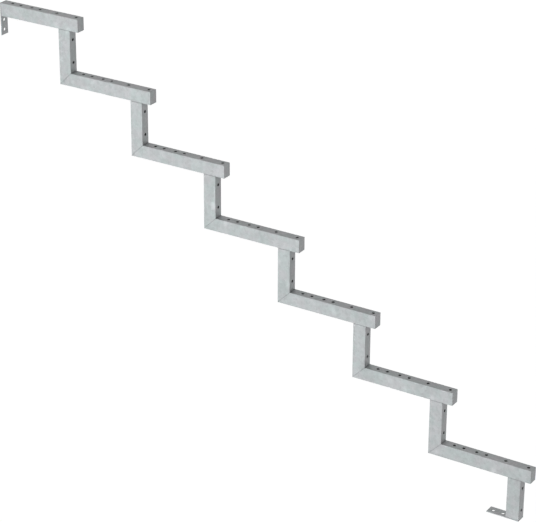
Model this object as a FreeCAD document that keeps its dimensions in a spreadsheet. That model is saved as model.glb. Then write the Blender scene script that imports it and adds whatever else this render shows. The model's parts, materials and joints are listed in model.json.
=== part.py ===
import FreeCAD, Part
import math
import os
import Sketcher

# Zig-zag stair stringer welded from rectangular steel tube.
# Treads are horizontal tubes and risers are upright tubes, numbered from the wall down to the floor.
# +X runs down the stair away from the wall, +Z is up, and Y = 0 is the middle plane of the tube.
# The origin is the middle of the two floor bolts, on the underside of the floor plate.

STEP_COUNT = 7

# Driving sizes in millimetres: name, value, what it measures
SIZES = [
    ("rise", 170.0, "height from one tread top to the next, and from the floor to the lowest"),
    ("going", 250.0, "distance from one riser to the next"),
    ("tube_height", 40.0, "side of the tube that shows in the zig-zag"),
    ("tube_width", 30.0, "side of the tube across the stringer"),
    ("tube_wall", 2.0, "wall thickness of the tube"),
    ("tube_outer_radius", 1.0, "corner radius outside the tube"),
    ("tube_inner_radius", 0.5, "corner radius inside the tube"),
    ("nosing_overhang", 30.0, "reach of a tread tube past the riser below it"),
    ("mitre_groove", 0.7, "bevel round each mitred tube end"),
    ("butt_groove", 1.25, "bevel round each square tube end that is welded to another piece"),
    ("edge_break", 0.3, "bevel on the open edges of tubes and plates"),
    ("tread_hole", 9.0, "diameter of the holes for tread bolts"),
    ("back_pair_start", 35.0, "first back hole, from the riser or wall behind the tread"),
    ("middle_pair_start", 105.0, "first middle hole, from the riser or wall behind the tread"),
    ("tread_pair_pitch", 30.0, "distance between the holes of a back or middle pair"),
    ("front_pair_offset", 15.0, "front holes, from the two faces of the riser below the tread"),
    ("riser_hole", 9.0, "diameter of the holes for riser bolts"),
    ("riser_hole_margin", 30.0, "riser holes, from the tread above and from the tread or floor below"),
    ("plate_thickness", 3.0, "thickness of the wall and floor plates"),
    ("wall_setback", 1.5, "wall face, behind the line where a riser above the top tread would end"),
    ("plate_reach", 60.0, "free length of a plate beyond the tube that it closes"),
    ("plate_hole", 10.0, "diameter of the anchor holes in the plates"),
    ("plate_hole_edge", 15.0, "outer anchor hole, from the free end of its plate"),
    ("plate_hole_pitch", 30.0, "distance between the anchor holes of a plate"),
    ("cap_thickness", 3.0, "thickness of the nosing caps"),
    ("cap_clearance", 0.1, "gap round a nosing cap inside its tube"),
]

# Places along the stair, as expressions of the driving sizes
TUBE_HALF = "Sizes.tube_height / 2"
PLATE_FREE_END = "(Sizes.plate_hole_edge + Sizes.plate_hole_pitch / 2)"
LAST_RISER_BACK = f"(Sizes.plate_reach - {PLATE_FREE_END})"
WALL_OFFSET = "(Sizes.tube_height - Sizes.wall_setback)"
TREAD_LENGTH = "(Sizes.tube_height + Sizes.going + Sizes.nosing_overhang)"

# Sketch ids of the two axes, and the numbers of the points on a line, an arc or a circle
HORIZONTAL_AXIS, VERTICAL_AXIS = -1, -2
START_POINT, END_POINT, CENTRE_POINT = 1, 2, 3

QUARTER_TURN = math.pi / 2
DIRECTION_TOLERANCE = 1e-6

doc = FreeCAD.newDocument("stair_stringer")


def make_sheet():
    """The spreadsheet of driving sizes."""
    sheet = doc.addObject("Spreadsheet::Sheet", "Sizes")
    for row, (name, value, meaning) in enumerate(SIZES, start=1):
        sheet.set(f"A{row}", name)
        sheet.set(f"B{row}", str(value))
        sheet.setAlias(f"B{row}", name)
        sheet.set(f"C{row}", meaning)
    doc.recompute()
    return sheet


sizes = make_sheet()


def number(expression):
    """Present value of an expression of the driving sizes."""
    return float(sizes.evalExpression(expression))


def tread_line(step):
    """X of the back face of the riser above a tread, where the tread tube's step begins."""
    return f"({LAST_RISER_BACK} - {STEP_COUNT + 1 - step} * Sizes.going)"


def tread_top(step):
    """Z of the top of a tread; the step after the last one is the floor."""
    return f"({STEP_COUNT + 1 - step} * Sizes.rise)"


def new_body(label, x, z, rotation=None):
    """An empty body whose place follows the driving sizes."""
    body = doc.addObject("PartDesign::Body", label)
    body.Label = label
    if rotation:
        body.Placement = FreeCAD.Placement(FreeCAD.Vector(), rotation)
    body.setExpression("Placement.Base.x", x)
    body.setExpression("Placement.Base.z", z)
    return body


def new_sketch(body, role):
    """A sketch on one of the body's own origin planes."""
    plane = next(item for item in body.Origin.OriginFeatures if item.Role == role)
    sketch = body.newObject("Sketcher::SketchObject", f"{body.Label}_sketch")
    sketch.AttachmentSupport = (plane, [""])
    sketch.MapMode = "FlatFace"
    return sketch


def bind(sketch, kind, item, point, expression):
    """Hold a point at a distance from the sketch origin, the start point of the horizontal axis."""
    distance = Sketcher.Constraint(kind, HORIZONTAL_AXIS, START_POINT, item, point, number(expression))
    index = sketch.addConstraint(distance)
    sketch.setExpression(f"Constraints[{index}]", expression)


def vector_at(corner):
    """Present place of a pair of expressions in a sketch."""
    x, y = corner
    return FreeCAD.Vector(number(x), number(y), 0)


def draw_polygon(sketch, corners):
    """A closed outline through corners that are given as pairs of expressions."""
    points = [vector_at(corner) for corner in corners]
    count = len(points)
    lines = []
    for index, point in enumerate(points):
        segment = Part.LineSegment(point, points[(index + 1) % count])
        lines.append(sketch.addGeometry(segment, False))
    for index, line in enumerate(lines):
        following = lines[(index + 1) % count]
        sketch.addConstraint(Sketcher.Constraint("Coincident", line, END_POINT, following, START_POINT))
    for line, (x, y) in zip(lines, corners):
        bind(sketch, "DistanceX", line, START_POINT, x)
        bind(sketch, "DistanceY", line, START_POINT, y)


def draw_rectangle(sketch, half_x, half_y):
    """A rectangle about the sketch origin."""
    draw_polygon(sketch, [
        (f"-({half_x})", f"-({half_y})"),
        (half_x, f"-({half_y})"),
        (half_x, half_y),
        (f"-({half_x})", half_y),
    ])


def draw_rounded_rectangle(sketch, half_x, half_y, radius):
    """A rectangle about the sketch origin whose corners are arcs."""
    arc_x = f"({half_x} - {radius})"
    arc_y = f"({half_y} - {radius})"
    sides = [
        [(half_x, f"-{arc_y}"), (half_x, arc_y)],
        [(arc_x, half_y), (f"-{arc_x}", half_y)],
        [(f"-({half_x})", arc_y), (f"-({half_x})", f"-{arc_y}")],
        [(f"-{arc_x}", f"-({half_y})"), (arc_x, f"-({half_y})")],
    ]
    arc_centres = [(arc_x, arc_y), (f"-{arc_x}", arc_y), (f"-{arc_x}", f"-{arc_y}"), (arc_x, f"-{arc_y}")]
    lines = []
    for start, end in sides:
        line = sketch.addGeometry(Part.LineSegment(vector_at(start), vector_at(end)), False)
        lines.append(line)
        for point, (x, y) in ((START_POINT, start), (END_POINT, end)):
            bind(sketch, "DistanceX", line, point, x)
            bind(sketch, "DistanceY", line, point, y)
    for quarter, centre in enumerate(arc_centres):
        circle = Part.Circle(vector_at(centre), FreeCAD.Vector(0, 0, 1), number(radius))
        turn = quarter * QUARTER_TURN
        arc = sketch.addGeometry(Part.ArcOfCircle(circle, turn, turn + QUARTER_TURN), False)
        before = lines[quarter]
        after = lines[(quarter + 1) % len(lines)]
        sketch.addConstraint(Sketcher.Constraint("Coincident", before, END_POINT, arc, START_POINT))
        sketch.addConstraint(Sketcher.Constraint("Coincident", arc, END_POINT, after, START_POINT))
        index = sketch.addConstraint(Sketcher.Constraint("Radius", arc, number(radius)))
        sketch.setExpression(f"Constraints[{index}]", radius)


def draw_holes(sketch, kind, places, diameter):
    """Circles with their centres on a sketch axis, kind DistanceX or DistanceY."""
    axis = HORIZONTAL_AXIS if kind == "DistanceX" else VERTICAL_AXIS
    for place in places:
        along = number(place)
        centre = FreeCAD.Vector(along, 0, 0) if axis == HORIZONTAL_AXIS else FreeCAD.Vector(0, along, 0)
        circle = Part.Circle(centre, FreeCAD.Vector(0, 0, 1), number(diameter) / 2)
        item = sketch.addGeometry(circle, False)
        sketch.addConstraint(Sketcher.Constraint("PointOnObject", item, CENTRE_POINT, axis))
        bind(sketch, kind, item, CENTRE_POINT, place)
        index = sketch.addConstraint(Sketcher.Constraint("Diameter", item, number(diameter)))
        sketch.setExpression(f"Constraints[{index}]", diameter)


def add_pad(body, sketch, length):
    """Extrude a sketch along its normal."""
    pad = body.newObject("PartDesign::Pad", f"{body.Label}_pad")
    pad.Profile = sketch
    pad.setExpression("Length", length)
    doc.recompute()


def cut_through(body, sketch):
    """Cut a sketch right through the body, on both sides of its plane."""
    before = body.Shape.Volume
    pocket = body.newObject("PartDesign::Pocket", f"{body.Label}_cut")
    pocket.Profile = sketch
    pocket.SideType = "Two sides"
    pocket.Type = "ThroughAll"
    pocket.Type2 = "ThroughAll"
    doc.recompute()
    if body.Shape.Volume >= before:
        raise RuntimeError(f"{body.Label}: a cut removed nothing")


def dress_edges(body, kind, edges, size):
    """Chamfer or fillet the given edges of the body's last feature."""
    base = body.Tip
    names = [
        f"Edge{index}"
        for index, edge in enumerate(base.Shape.Edges, start=1)
        if any(edge.isSame(wanted) for wanted in edges)
    ]
    dressing = body.newObject(f"PartDesign::{kind}", f"{body.Label}_{kind.lower()}")
    dressing.Base = (base, names)
    dressing.setExpression("Radius" if kind == "Fillet" else "Size", size)
    doc.recompute()


def end_loop(body, outward):
    """Edges round the outside of the flat end that faces the given direction."""
    direction = FreeCAD.Vector(*outward).normalize()
    for face in body.Tip.Shape.Faces:
        flat = isinstance(face.Surface, Part.Plane)
        if flat and face.normalAt(0, 0).isEqual(direction, DIRECTION_TOLERANCE):
            return face.OuterWire.Edges
    raise RuntimeError(f"{body.Label}: no flat end faces {outward}")


def edges_along(body, direction, reach):
    """Straight edges along a direction, at the given distance from the body's own axis."""
    axis = FreeCAD.Vector(*direction)
    found = []
    for edge in body.Tip.Shape.Edges:
        span = edge.Vertexes[-1].Point - edge.Vertexes[0].Point
        middle = edge.CenterOfMass
        offset = (middle - axis * middle.dot(axis)).Length
        along = span.Length > 0 and span.normalize().cross(axis).Length < DIRECTION_TOLERANCE
        if along and abs(offset - reach) < DIRECTION_TOLERANCE:
            found.append(edge)
    return found


def corner_reach(inset):
    """Distance of the tube's corner lines from its axis, moved in by an inset."""
    half_width = number(f"Sizes.tube_width / 2 - ({inset})")
    half_height = number(f"{TUBE_HALF} - ({inset})")
    return FreeCAD.Vector(half_width, half_height, 0).Length


def add_tube(body, role, half_x, half_y, length):
    """A rectangular tube on the body's own axis, with sharp corners."""
    section = new_sketch(body, role)
    draw_rectangle(section, half_x, half_y)
    draw_rectangle(section, f"{half_x} - Sizes.tube_wall", f"{half_y} - Sizes.tube_wall")
    add_pad(body, section, length)


def round_tube(body, role, half_x, half_y, direction):
    """Round the long corners of a tube: outside by a cut to its rounded outline, inside by fillets."""
    waste = new_sketch(body, role)
    draw_rectangle(waste, f"{half_x} + Sizes.tube_wall", f"{half_y} + Sizes.tube_wall")
    draw_rounded_rectangle(waste, half_x, half_y, "Sizes.tube_outer_radius")
    cut_through(body, waste)
    inner_corners = edges_along(body, direction, corner_reach("Sizes.tube_wall"))
    dress_edges(body, "Fillet", inner_corners, "Sizes.tube_inner_radius")


def tread_hole_places(start):
    """The six holes along a tread tube whose riser or wall stands at the given start."""
    riser_back = f"{start} - Sizes.tube_height + Sizes.going"
    return [
        f"{start} + Sizes.back_pair_start",
        f"{start} + Sizes.back_pair_start + Sizes.tread_pair_pitch",
        f"{start} + Sizes.middle_pair_start",
        f"{start} + Sizes.middle_pair_start + Sizes.tread_pair_pitch",
        f"{riser_back} - Sizes.front_pair_offset",
        f"{riser_back} + Sizes.tube_height + Sizes.front_pair_offset",
    ]


def make_tread(step):
    """A tread tube along X: mitred to the riser behind it, or square against the wall plate."""
    at_wall = step == 1
    setback = f"({WALL_OFFSET} + Sizes.plate_thickness)" if at_wall else "0"
    body = new_body(
        f"tread_tube_{step}",
        f"{tread_line(step)} + {setback}",
        f"{tread_top(step)} - {TUBE_HALF}",
    )
    section = ("YZ_Plane", "Sizes.tube_width / 2", TUBE_HALF)
    add_tube(body, *section, f"{TREAD_LENGTH} - {setback}")
    if not at_wall:
        mitre = new_sketch(body, "XZ_Plane")
        draw_polygon(mitre, [
            ("-Sizes.tube_wall", f"-{TUBE_HALF} - Sizes.tube_wall"),
            ("Sizes.tube_height + Sizes.tube_wall", f"{TUBE_HALF} + Sizes.tube_wall"),
            ("-Sizes.tube_wall", f"{TUBE_HALF} + Sizes.tube_wall"),
        ])
        cut_through(body, mitre)
    drilling = new_sketch(body, "XY_Plane")
    hole_places = tread_hole_places(f"Sizes.tube_height - {setback}")
    draw_holes(drilling, "DistanceX", hole_places, "Sizes.tread_hole")
    cut_through(body, drilling)
    back_end = (-1, 0, 0) if at_wall else (-1, 0, 1)
    back_groove = "Sizes.butt_groove" if at_wall else "Sizes.mitre_groove"
    dress_edges(body, "Chamfer", end_loop(body, back_end), back_groove)
    dress_edges(body, "Chamfer", end_loop(body, (1, 0, 0)), "Sizes.edge_break")
    round_tube(body, *section, (1, 0, 0))
    return body


def make_riser(step):
    """A riser tube along Z: butted under its tread, its foot mitred or square on the floor plate."""
    at_floor = step == STEP_COUNT
    foot = "Sizes.plate_thickness" if at_floor else f"({tread_top(step + 1)} - Sizes.tube_height)"
    body = new_body(f"riser_tube_{step}", f"{tread_line(step + 1)} + {TUBE_HALF}", foot)
    length = f"{tread_top(step)} - Sizes.tube_height - {foot}"
    section = ("XY_Plane", TUBE_HALF, "Sizes.tube_width / 2")
    add_tube(body, *section, length)
    if not at_floor:
        mitre = new_sketch(body, "XZ_Plane")
        draw_polygon(mitre, [
            (f"-{TUBE_HALF} - Sizes.tube_wall", "-Sizes.tube_wall"),
            (f"{TUBE_HALF} + Sizes.tube_wall", "-Sizes.tube_wall"),
            (f"{TUBE_HALF} + Sizes.tube_wall", "Sizes.tube_height + Sizes.tube_wall"),
        ])
        cut_through(body, mitre)
    drilling = new_sketch(body, "YZ_Plane")
    hole_places = [
        f"{tread_top(step + 1)} + Sizes.riser_hole_margin - {foot}",
        f"{length} - Sizes.riser_hole_margin",
    ]
    draw_holes(drilling, "DistanceY", hole_places, "Sizes.riser_hole")
    cut_through(body, drilling)
    lower_end = (0, 0, -1) if at_floor else (1, 0, -1)
    lower_groove = "Sizes.butt_groove" if at_floor else "Sizes.mitre_groove"
    dress_edges(body, "Chamfer", end_loop(body, lower_end), lower_groove)
    dress_edges(body, "Chamfer", end_loop(body, (0, 0, 1)), "Sizes.butt_groove")
    round_tube(body, *section, (0, 0, 1))
    return body


def make_cap(step):
    """A plate let into the front end of a tread tube, flush with its edge."""
    body = new_body(
        f"nosing_cap_{step}",
        f"{tread_line(step)} + {TREAD_LENGTH} - Sizes.cap_thickness",
        f"{tread_top(step)} - {TUBE_HALF}",
    )
    inset = "Sizes.tube_wall + Sizes.cap_clearance"
    outline = new_sketch(body, "YZ_Plane")
    draw_rectangle(outline, f"Sizes.tube_width / 2 - ({inset})", f"{TUBE_HALF} - ({inset})")
    add_pad(body, outline, "Sizes.cap_thickness")
    corners = edges_along(body, (1, 0, 0), corner_reach(inset))
    dress_edges(body, "Fillet", corners, "Sizes.tube_inner_radius + Sizes.cap_clearance")
    return body


def make_plate(label, x, z, rotation=None):
    """A flat bar along its own X with two anchor holes, about the middle of those holes."""
    body = new_body(label, x, z, rotation)
    half_width = "Sizes.tube_width / 2"
    free_end = f"-{PLATE_FREE_END}"
    tube_end = f"Sizes.tube_height + Sizes.plate_reach - {PLATE_FREE_END}"
    outline = new_sketch(body, "XY_Plane")
    draw_polygon(outline, [
        (free_end, f"-{half_width}"),
        (tube_end, f"-{half_width}"),
        (tube_end, half_width),
        (free_end, half_width),
    ])
    add_pad(body, outline, "Sizes.plate_thickness")
    drilling = new_sketch(body, "XY_Plane")
    hole_places = ["-Sizes.plate_hole_pitch / 2", "Sizes.plate_hole_pitch / 2"]
    draw_holes(drilling, "DistanceX", hole_places, "Sizes.plate_hole")
    cut_through(body, drilling)
    rims = end_loop(body, (0, 0, 1)) + end_loop(body, (0, 0, -1))
    dress_edges(body, "Chamfer", rims, "Sizes.edge_break")
    return body


def make_wall_plate():
    """The plate that closes the top tread tube and hangs down against the wall."""
    upright = FreeCAD.Rotation(FreeCAD.Vector(1, 0, 1), 180)
    wall = f"{tread_line(1)} + {WALL_OFFSET}"
    height = f"{tread_top(1)} - Sizes.tube_height - Sizes.plate_reach + {PLATE_FREE_END}"
    return make_plate("wall_plate", wall, height, upright)


def check_model(bodies):
    """Stop if any feature failed or any piece isn't one sound solid."""
    for item in doc.Objects:
        if "Invalid" in item.State or "Error" in item.State:
            raise RuntimeError(f"{item.Label}: {item.State}")
    for body in bodies:
        shape = body.Shape
        if shape.isNull() or not shape.isValid() or len(shape.Solids) != 1:
            raise RuntimeError(f"{body.Label}: not one valid solid")


steps = range(1, STEP_COUNT + 1)
bodies = [make_tread(step) for step in steps]
bodies += [make_riser(step) for step in steps]
bodies += [make_cap(step) for step in steps]
bodies.append(make_wall_plate())
bodies.append(make_plate("floor_plate", "0", "0"))

doc.recompute()
check_model(bodies)

os.makedirs("parts", exist_ok=True)
for body in bodies:
    body.Shape.exportStep(f"parts/{body.Label}.step")
    print(f"{body.Label}: {body.Shape.Volume / 1000:.2f} cm3")
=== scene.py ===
import json
import math

import bpy
from mathutils import Matrix, Vector


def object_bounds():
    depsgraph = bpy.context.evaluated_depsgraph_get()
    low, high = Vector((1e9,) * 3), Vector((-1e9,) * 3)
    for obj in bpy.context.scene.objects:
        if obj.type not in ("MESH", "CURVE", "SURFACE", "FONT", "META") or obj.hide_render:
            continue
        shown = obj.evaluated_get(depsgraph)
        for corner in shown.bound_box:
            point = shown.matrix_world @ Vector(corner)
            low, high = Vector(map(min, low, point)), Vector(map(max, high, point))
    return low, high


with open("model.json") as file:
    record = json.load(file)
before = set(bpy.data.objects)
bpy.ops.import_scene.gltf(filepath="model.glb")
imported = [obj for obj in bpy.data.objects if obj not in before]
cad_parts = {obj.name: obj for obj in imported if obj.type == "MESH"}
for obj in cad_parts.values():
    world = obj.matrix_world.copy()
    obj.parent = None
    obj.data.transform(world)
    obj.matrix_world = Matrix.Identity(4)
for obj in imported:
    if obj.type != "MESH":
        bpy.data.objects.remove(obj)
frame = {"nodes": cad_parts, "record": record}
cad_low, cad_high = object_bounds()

# Hot-dip galvanised stair stringer on a pale floor, in metres.
# +X runs down the stair away from the wall, +Z is up, and the camera looks from the -Y side.

# Picture that the camera is fitted to, in pixels, and the lens that goes with it
PICTURE_WIDTH = 536
FOCAL_LENGTH_PX = 2297.6
SENSOR_WIDTH_MM = 36.0

# The camera looks at a point near the middle of the stringer, from its right and above
CAMERA_AIM = Vector((-0.7602, -0.0027, 0.5844))
CAMERA_DISTANCE = 6.5318
CAMERA_AZIMUTH = math.radians(32.12)
CAMERA_ELEVATION = math.radians(24.93)
CAMERA_ROLL = math.radians(0.224)
UPWARDS = Vector((0.0, 0.0, 1.0))

# Even light all round, and the glow of the world where it is seen; 1 is white
WHITE = (1.0, 1.0, 1.0, 1.0)
AMBIENT_LIGHT = 0.212
WORLD_GLOW = 1.0

# The floor: how much light it sends back, and how it looks with its shadow
FLOOR_SIZE = 60.0
FLOOR_GAP = 0.0002
FLOOR_BOUNCE = 0.8
FLOOR_GLOW = 0.9
FLOOR_SHADED = 0.5

# Soft boxes: name, place, side, power in watts and colour; all face the middle of the stringer
LIGHT_TARGET = (-0.8, 0.0, 0.6)
SOFT_BOXES = [
    ("key_light", (-2.6, -8.0, 0.4), 0.7, 352.0, (0.945, 1.0, 0.993)),
    ("fill_light", (35.0, 4.6, 1.52), 3.8, 925.0, (1.0, 1.0, 1.0)),
    ("back_light", (-1.6, 9.0, 0.45), 0.8, 250.0, (1.0, 1.0, 1.0)),
]

# Zinc coat: colours of the dullest and the brightest patch, and its shine
ZINC_DARK = (0.376, 0.387, 0.392)
ZINC_LIGHT = (0.663, 0.682, 0.692)
ZINC_METALLIC = 0.3
ZINC_SPECULAR = 0.3

# How far the hue strays from there, and the noise levels at which it is coolest and warmest
TINT_COOL = (0.968, 1.0, 0.991)
TINT_WARM = (1.029, 0.996, 1.008)
COOLEST_LEVEL = 0.35
WARMEST_LEVEL = 0.65

# Noise textures: features per metre, where 25 is a patch of about 40 mm, and octaves of finer detail
CLOUDS = {"Scale": 24.0, "Detail": 2.0}
PATCHES = {"Scale": 70.0, "Detail": 3.0}
TINT = {"Scale": 34.0, "Detail": 1.0}
STREAKS = {"Scale": 380.0, "Detail": 2.0}
GRAIN = {"Scale": 1400.0, "Detail": 2.0}
RIPPLES = {"Scale": 320.0, "Detail": 2.0}
NOISE_MIDDLE = (0.5, 0.5, 0.5)

# The zinc drained downwards, so its clouds and patches are twice as long that way
DRAIN_STRETCH = (1.0, 1.0, 0.5)

# Zinc crystals: how many per metre, how their borders wander, and the streaks along each one
SPANGLE_SCALE = 120.0
SPANGLE_BEND = {"Scale": 150.0, "Detail": 2.0}
SPANGLE_BEND_REACH = 0.008
STREAK_AXIS = (1.0, 1.0, 1.0)
STREAK_STRETCH = (0.15, 1.0, 1.0)

# Bright flecks: how many places per metre, the share of places left bare, and a fleck's core and rim
FLECK_SCALE = 24.0
FLECK_BEND = {"Scale": 72.0, "Detail": 2.0}
FLECK_BEND_REACH = 0.012
FLECK_BARE = 0.7
FLECK_CORE = 0.08
FLECK_RIM = 0.26

# Brighter runs of zinc on the front: how far along the stair, how high, and how bright
RUNS = [
    (-1.480, 1.155, 0.55),
    (-1.437, 1.153, 0.80),
    (-1.372, 0.983, 0.50),
    (-1.350, 1.010, 0.60),
    (-1.108, 0.838, 0.45),
    (-0.938, 0.720, 1.20),
    (-0.897, 0.675, 0.55),
    (-0.715, 0.596, 0.60),
    (-0.688, 0.536, 0.65),
    (-0.535, 0.492, 0.90),
    (-0.343, 0.322, 0.55),
    (-0.298, 0.310, 0.45),
    (-0.190, 0.142, 0.35),
    (-0.015, 0.135, 0.90),
]

# Shape of a run: longer than it is wide, brightest in its middle, with a rim that wanders
RUN_SHAPE = (1.0, 1.0, 0.7)
RUN_MIDDLE = 0.0
RUN_RIM = 0.013
RUN_BEND = {"Scale": 90.0, "Detail": 2.0}
RUN_BEND_REACH = 0.010

# Share of each texture in the tone, which runs from 0 for dull to 1 for bright, and in gloss and bump
MIDDLE_TONE = 0.5
TONE = {"clouds": 0.36, "patches": 0.39, "spangle": 0.26, "streaks": 0.42}
BRIGHT_TONE = {"flecks": 0.18, "runs": 0.45}
SMOOTHEST = 0.36
ROUGHNESS = {"patches": 0.24, "spangle": 0.08, "flecks": -0.06, "runs": -0.06}
BUMP_HEIGHT = {"grain": 0.25, "ripples": 0.75, "spangle": 0.1}
BUMP_STRENGTH = 0.35
BUMP_DISTANCE = 0.0003

# Painted shade in holes, grooves and corners, darkening the zinc colour where a spot is shut in: how open
# a spot is, and the share of colour left there
PAINTED_SHADE_REACH = 0.05
PAINTED_SHADE_SAMPLES = 8
PAINTED_SHADE_STOPS = [(0.0, 0.3), (0.35, 0.45), (0.5, 0.8), (0.8, 1.0)]

# The floor would shut spots in too, so the painted shade sets in between these heights
PAINTED_SHADE_NONE = 0.005
PAINTED_SHADE_FULL = 0.06

record = frame["record"]
nodes = frame["nodes"]


def add_node(tree, kind, inputs=None, **settings):
    """A shader node with its settings and inputs; an input is a value or another node's socket."""
    node = tree.nodes.new(kind)
    for name, value in settings.items():
        setattr(node, name, value)
    for name, value in (inputs or {}).items():
        if isinstance(value, bpy.types.NodeSocket):
            tree.links.new(value, node.inputs[name])
        else:
            node.inputs[name].default_value = value
    return node


def add_math(tree, operation, *inputs):
    """The result of one arithmetic step."""
    return add_node(tree, "ShaderNodeMath", dict(enumerate(inputs)), operation=operation).outputs[0]


def add_vector_math(tree, operation, inputs):
    """The result of one arithmetic step on vectors or colours."""
    return add_node(tree, "ShaderNodeVectorMath", inputs, operation=operation).outputs[0]


def add_length(tree, vector):
    """The length of a vector."""
    return add_node(tree, "ShaderNodeVectorMath", {0: vector}, operation="LENGTH").outputs["Value"]


def add_fade(tree, value, near, far, strength=1.0, shape="SMOOTHSTEP"):
    """A strength that fades to nothing as a value goes from near to far."""
    fade = add_node(tree, "ShaderNodeMapRange", {
        "Value": value,
        "From Min": near,
        "From Max": far,
        "To Min": strength,
        "To Max": 0.0,
    }, interpolation_type=shape)
    return fade.outputs[0]


def add_up(tree, start, weights, textures):
    """A start value plus each named texture times its weight."""
    total = start
    for name, weight in weights.items():
        total = add_math(tree, "MULTIPLY_ADD", textures[name], weight, total)
    return total


def new_graph(owner):
    """The emptied node tree of a material or a world."""
    owner.use_nodes = True
    owner.node_tree.nodes.clear()
    return owner.node_tree


def seen_rays(tree):
    """One for rays that show a surface or the world: straight, mirrored or through glass."""
    path = add_node(tree, "ShaderNodeLightPath").outputs
    mirrored = add_math(tree, "MAXIMUM", path["Is Camera Ray"], path["Is Glossy Ray"])
    return add_math(tree, "MAXIMUM", mirrored, path["Is Transmission Ray"])


def add_seen_mix(tree, lighting, seen):
    """One shader that sends light to the part, and another for how it is seen."""
    choice = {0: seen_rays(tree), 1: lighting.outputs[0], 2: seen.outputs[0]}
    return add_node(tree, "ShaderNodeMixShader", choice).outputs[0]


def opaque(colour):
    """A colour with full cover."""
    return (*colour, 1.0)


def grey(level):
    """A neutral colour."""
    return opaque((level, level, level))


def make_world():
    """Even soft light all round, with white where the world is seen."""
    world = bpy.data.worlds.new("studio")
    bpy.context.scene.world = world
    tree = new_graph(world)
    light = add_node(tree, "ShaderNodeBackground", {"Color": WHITE, "Strength": AMBIENT_LIGHT})
    seen = add_node(tree, "ShaderNodeBackground", {"Color": WHITE, "Strength": WORLD_GLOW})
    add_node(tree, "ShaderNodeOutputWorld", {"Surface": add_seen_mix(tree, light, seen)})


def make_floor():
    """A wide pale floor under the floor plate, white where it is seen, with the stringer's shadow."""
    bpy.ops.mesh.primitive_plane_add(size=FLOOR_SIZE, location=(0, 0, cad_low.z - FLOOR_GAP))
    floor = bpy.context.object
    floor.name = "floor"
    material = bpy.data.materials.new("pale_floor")
    tree = new_graph(material)
    plain = add_node(tree, "ShaderNodeBsdfDiffuse", {"Color": grey(FLOOR_BOUNCE)})
    shaded = add_node(tree, "ShaderNodeBsdfDiffuse", {"Color": grey(FLOOR_SHADED)})
    glow = add_node(tree, "ShaderNodeEmission", {"Color": WHITE, "Strength": FLOOR_GLOW})
    bright = add_node(tree, "ShaderNodeAddShader", {0: shaded.outputs[0], 1: glow.outputs[0]})
    add_node(tree, "ShaderNodeOutputMaterial", {"Surface": add_seen_mix(tree, plain, bright)})
    floor.data.materials.append(material)


def make_soft_box(name, place, side, power, colour):
    """A square area light that faces the stringer."""
    lamp = bpy.data.lights.new(name, "AREA")
    lamp.shape = "SQUARE"
    lamp.size = side
    lamp.energy = power
    lamp.color = colour
    holder = bpy.data.objects.new(name, lamp)
    bpy.context.scene.collection.objects.link(holder)
    holder.location = place
    direction = Vector(LIGHT_TARGET) - Vector(place)
    holder.rotation_euler = direction.to_track_quat("-Z", "Y").to_euler()


def make_camera():
    """The camera at the photograph's viewing angle."""
    forward = Vector((
        -math.sin(CAMERA_AZIMUTH) * math.cos(CAMERA_ELEVATION),
        math.cos(CAMERA_AZIMUTH) * math.cos(CAMERA_ELEVATION),
        -math.sin(CAMERA_ELEVATION),
    ))
    level = forward.cross(UPWARDS).normalized()
    right = Matrix.Rotation(CAMERA_ROLL, 3, -forward) @ level
    up = right.cross(forward)
    lens = bpy.data.cameras.new("camera")
    lens.sensor_fit = "HORIZONTAL"
    lens.sensor_width = SENSOR_WIDTH_MM
    lens.lens = FOCAL_LENGTH_PX * SENSOR_WIDTH_MM / PICTURE_WIDTH
    camera = bpy.data.objects.new("camera", lens)
    bpy.context.scene.collection.objects.link(camera)
    place = Matrix.Translation(CAMERA_AIM - forward * CAMERA_DISTANCE)
    camera.matrix_world = place @ Matrix((right, up, -forward)).transposed().to_4x4()
    bpy.context.scene.camera = camera


def add_noise(tree, place, noise):
    """Soft noise about 0.5."""
    return add_node(tree, "ShaderNodeTexNoise", {"Vector": place, **noise}).outputs["Fac"]


def add_bend(tree, place, noise, reach):
    """Places moved about by soft noise, up to half the reach each way."""
    wobble = add_node(tree, "ShaderNodeTexNoise", {"Vector": place, **noise}).outputs["Color"]
    centred = add_vector_math(tree, "SUBTRACT", {0: wobble, 1: NOISE_MIDDLE})
    shift = add_vector_math(tree, "SCALE", {0: centred, "Scale": reach})
    return add_vector_math(tree, "ADD", {0: place, 1: shift})


def add_cells(tree, place, scale):
    """Cells of uneven size: the distance from each one's middle, and random values for each."""
    cells = add_node(tree, "ShaderNodeTexVoronoi", {"Vector": place, "Scale": scale})
    chances = add_node(tree, "ShaderNodeSeparateColor", {"Color": cells.outputs["Color"]})
    return cells.outputs["Distance"], chances.outputs


def add_spangle(tree, place):
    """Zinc crystals: a random value for each, and fine streaks that lie another way in each."""
    bent = add_bend(tree, place, SPANGLE_BEND, SPANGLE_BEND_REACH)
    _, chances = add_cells(tree, bent, SPANGLE_SCALE)
    angle = add_math(tree, "MULTIPLY", chances["Green"], math.tau)
    turned = add_node(tree, "ShaderNodeVectorRotate", {
        "Vector": place,
        "Axis": STREAK_AXIS,
        "Angle": angle,
    }, rotation_type="AXIS_ANGLE")
    stretched = add_vector_math(tree, "MULTIPLY", {0: turned.outputs[0], 1: STREAK_STRETCH})
    return chances["Red"], add_noise(tree, stretched, STREAKS)


def add_flecks(tree, place):
    """Scattered bright flecks with soft uneven edges."""
    bent = add_bend(tree, place, FLECK_BEND, FLECK_BEND_REACH)
    distance, chances = add_cells(tree, bent, FLECK_SCALE)
    chosen = add_math(tree, "GREATER_THAN", chances["Red"], FLECK_BARE)
    spot = add_fade(tree, distance, FLECK_CORE, FLECK_RIM)
    return add_math(tree, "MULTIPLY", spot, chosen)


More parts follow.
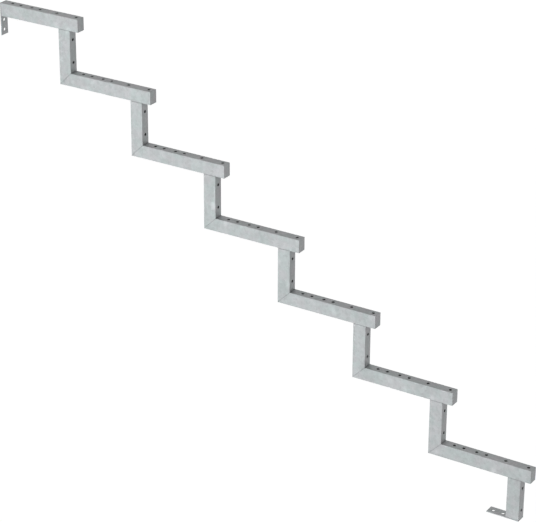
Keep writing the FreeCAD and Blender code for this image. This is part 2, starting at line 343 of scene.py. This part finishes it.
def add_runs(tree, place):
    """Brighter runs of zinc on the front face, longer than they are wide, with soft uneven edges."""
    bent = add_bend(tree, place, RUN_BEND, RUN_BEND_REACH)
    total = 0.0
    for along, height, brightness in RUNS:
        offset = add_vector_math(tree, "SUBTRACT", {0: bent, 1: (along, cad_low.y, height)})
        shaped = add_vector_math(tree, "MULTIPLY", {0: offset, 1: RUN_SHAPE})
        spot = add_fade(tree, add_length(tree, shaped), RUN_MIDDLE, RUN_RIM, brightness)
        total = add_math(tree, "ADD", total, spot)
    return total


def add_ramp(tree, value, stops):
    """Colour from a value, by stops of position and colour."""
    ramp = add_node(tree, "ShaderNodeValToRGB", {"Fac": value})
    elements = ramp.color_ramp.elements
    while len(elements) < len(stops):
        elements.new(1.0)
    for element, (position, colour) in zip(elements, stops):
        element.position = position
        element.color = colour
    return ramp.outputs["Color"]


def add_painted_shade(tree, place):
    """Painted shade: a factor that darkens the colour at spots which the part shuts in."""
    reach = {"Distance": PAINTED_SHADE_REACH}
    sky = add_node(tree, "ShaderNodeAmbientOcclusion", reach, samples=PAINTED_SHADE_SAMPLES).outputs["AO"]
    height = add_node(tree, "ShaderNodeSeparateXYZ", {"Vector": place}).outputs["Z"]
    near_floor = add_fade(tree, height, PAINTED_SHADE_NONE, PAINTED_SHADE_FULL, shape="LINEAR")
    openness = add_math(tree, "MAXIMUM", sky, near_floor)
    # Painted shade: the ramp turns how open a spot is into a darker colour
    return add_ramp(tree, openness, [(position, grey(level)) for position, level in PAINTED_SHADE_STOPS])


def add_textures(tree, place):
    """The textures that tone, gloss and bump are mixed from, by name."""
    drained = add_vector_math(tree, "MULTIPLY", {0: place, 1: DRAIN_STRETCH})
    spangle, streaks = add_spangle(tree, place)
    return {
        "clouds": add_noise(tree, drained, CLOUDS),
        "patches": add_noise(tree, drained, PATCHES),
        "spangle": spangle,
        "streaks": streaks,
        "flecks": add_flecks(tree, place),
        "runs": add_runs(tree, place),
        "grain": add_noise(tree, place, GRAIN),
        "ripples": add_noise(tree, place, RIPPLES),
    }


def add_colour(tree, place, textures):
    """Zinc from dull to bright, slightly tinted, with painted shade where the part shuts it in."""
    dullest = MIDDLE_TONE - sum(TONE.values()) / 2
    tone = add_up(tree, dullest, TONE | BRIGHT_TONE, textures)
    zinc = add_ramp(tree, tone, [(0.0, opaque(ZINC_DARK)), (1.0, opaque(ZINC_LIGHT))])
    tint = add_ramp(tree, add_noise(tree, place, TINT), [
        (COOLEST_LEVEL, opaque(TINT_COOL)),
        (WARMEST_LEVEL, opaque(TINT_WARM)),
    ])
    tinted = add_vector_math(tree, "MULTIPLY", {0: zinc, 1: tint})
    # Painted shade in holes, grooves and corners darkens the tinted zinc
    return add_vector_math(tree, "MULTIPLY", {0: tinted, 1: add_painted_shade(tree, place)})


def make_zinc(name):
    """Dull hot-dip galvanised steel with soft cloudy spangle."""
    material = bpy.data.materials.new(name)
    tree = new_graph(material)
    place = add_node(tree, "ShaderNodeTexCoord").outputs["Object"]
    textures = add_textures(tree, place)
    bump = add_node(tree, "ShaderNodeBump", {
        "Height": add_up(tree, 0.0, BUMP_HEIGHT, textures),
        "Strength": BUMP_STRENGTH,
        "Distance": BUMP_DISTANCE,
    })
    surface = add_node(tree, "ShaderNodeBsdfPrincipled", {
        "Base Color": add_colour(tree, place, textures),
        "Metallic": ZINC_METALLIC,
        "Specular IOR Level": ZINC_SPECULAR,
        "Roughness": add_up(tree, SMOOTHEST, ROUGHNESS, textures),
        "Normal": bump.outputs[0],
    })
    add_node(tree, "ShaderNodeOutputMaterial", {"Surface": surface.outputs[0]})
    return material


def dress_nodes():
    """Give each piece the finish of its material slot."""
    finishes = {entry["slot"]: make_zinc(entry["slot"]) for entry in record["materials"]}
    for part in record["subparts"]:
        piece = nodes[part["node"]]
        piece.data.materials.clear()
        piece.data.materials.append(finishes[part["material_slot"]])


bpy.context.scene.view_settings.view_transform = "Standard"
make_world()
make_floor()
for soft_box in SOFT_BOXES:
    make_soft_box(*soft_box)
make_camera()
dress_nodes()
